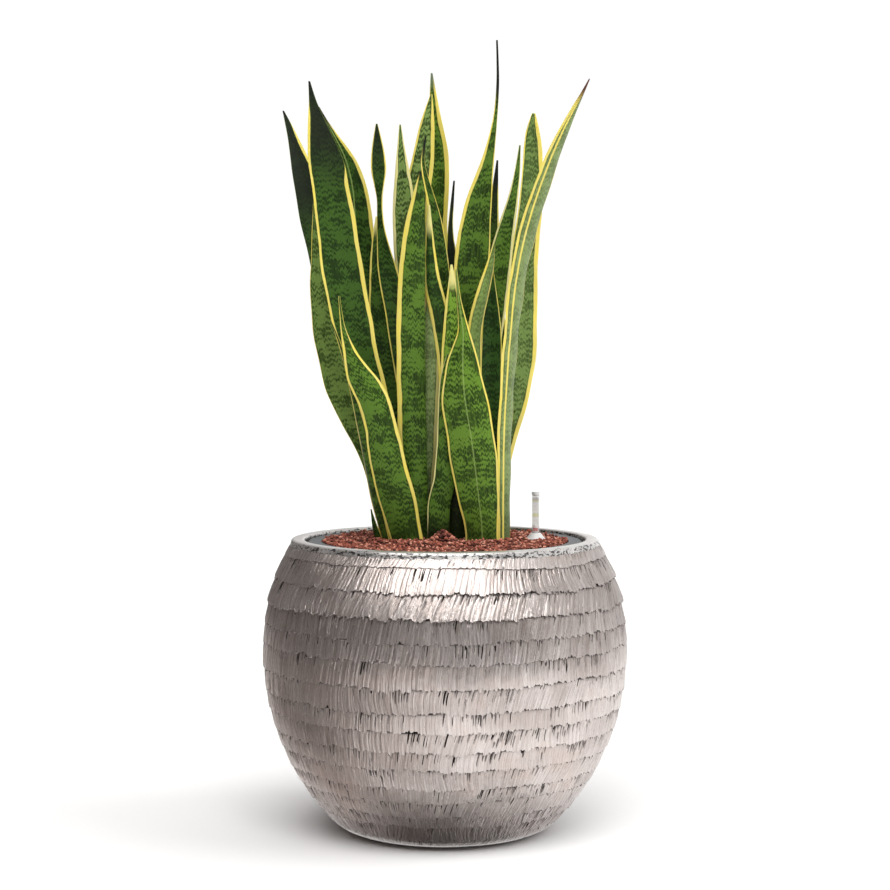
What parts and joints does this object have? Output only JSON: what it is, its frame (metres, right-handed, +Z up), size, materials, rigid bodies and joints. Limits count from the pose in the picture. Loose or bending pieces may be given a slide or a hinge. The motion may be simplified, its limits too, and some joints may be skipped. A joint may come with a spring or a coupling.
{
  "type": "globe planter",
  "caption": "Globe-shaped metal-leaf planter with a lift-out liner, culture pot, clay granules, water-level gauge and sword-leaved plant.",
  "frame": {"origin": "centre of the round foot, on the floor", "axes": "+Z up along the pot's axis, -Y towards the viewer of the front, +X towards the water-level gauge"},
  "size_m": [0.4, 0.4, 0.86],
  "materials": {
    "metal_leaf": "satin",
    "support_foam": "matte",
    "liner_plastic": "satin",
    "clay_granules": "matte",
    "culture_plastic": "satin",
    "root_fibre": "matte",
    "rhizome": "matte",
    "gauge_clear": "gloss",
    "gauge_white": "gloss",
    "scale_card": "matte",
    "gauge_grey": "satin",
    "indicator_red": "gloss",
    "leaf_blade": "satin"
  },
  "bodies": {
    "outer_pot": {"outer_shell": "metal_leaf", "support_ring": "support_foam"},
    "liner_set": {"liner": "liner_plastic", "liner_granules": "clay_granules"},
    "culture_set": {"culture_pot": "culture_plastic", "culture_granules": "clay_granules", "root_ball": "root_fibre", "rhizome": "rhizome", "leaf_front_right": "leaf_blade", "leaf_front_left": "leaf_blade", "leaf_left_strip": "leaf_blade", "leaf_low_blade": "leaf_blade", "leaf_front_small": "leaf_blade", "leaf_front_tall": "leaf_blade", "leaf_right_folded": "leaf_blade", "leaf_yellow_tip": "leaf_blade", "leaf_folded_pale": "leaf_blade", "leaf_narrow_dark": "leaf_blade", "leaf_pale_strip": "leaf_blade", "leaf_left_broad": "leaf_blade", "leaf_right_centre": "leaf_blade", "leaf_dark_back": "leaf_blade", "leaf_twisted": "leaf_blade", "leaf_bright_tip": "leaf_blade", "leaf_hook_tip": "leaf_blade", "leaf_left_outer": "leaf_blade", "leaf_left_lean": "leaf_blade", "leaf_left_curl": "leaf_blade", "leaf_pale_margin": "leaf_blade", "leaf_centre_high": "leaf_blade", "leaf_centre_back": "leaf_blade", "leaf_centre_spike": "leaf_blade", "leaf_right_inner": "leaf_blade", "leaf_right_spike": "leaf_blade", "leaf_right_outer": "leaf_blade", "leaf_back_left": "leaf_blade", "leaf_back_middle": "leaf_blade", "leaf_back_right": "leaf_blade", "leaf_back_low": "leaf_blade", "leaf_back_short": "leaf_blade"},
    "gauge": {"gauge_tube": "gauge_clear", "gauge_cap": "gauge_white", "gauge_scale": "scale_card", "gauge_collar": "gauge_white", "gauge_cage": "gauge_grey"},
    "float": {"gauge_float": "gauge_white", "float_rod": "gauge_grey", "red_indicator": "indicator_red"}
  },
  "joints": [
    {"name": "liner_lift", "type": "slide", "parent": "outer_pot", "child": "liner_set", "axis": [0, 0, 1], "range_m": [0, 0.25]},
    {"name": "culture_pot_lift", "type": "slide", "parent": "liner_set", "child": "culture_set", "axis": [0, 0, 1], "range_m": [0, 0.22]},
    {"name": "gauge_lift", "type": "slide", "parent": "liner_set", "child": "gauge", "axis": [0, 0, 1], "range_m": [0, 0.22]},
    {"name": "float_rise", "type": "slide", "parent": "gauge", "child": "float", "axis": [0, 0, 1], "range_m": [0, 0.031]}
  ]
}
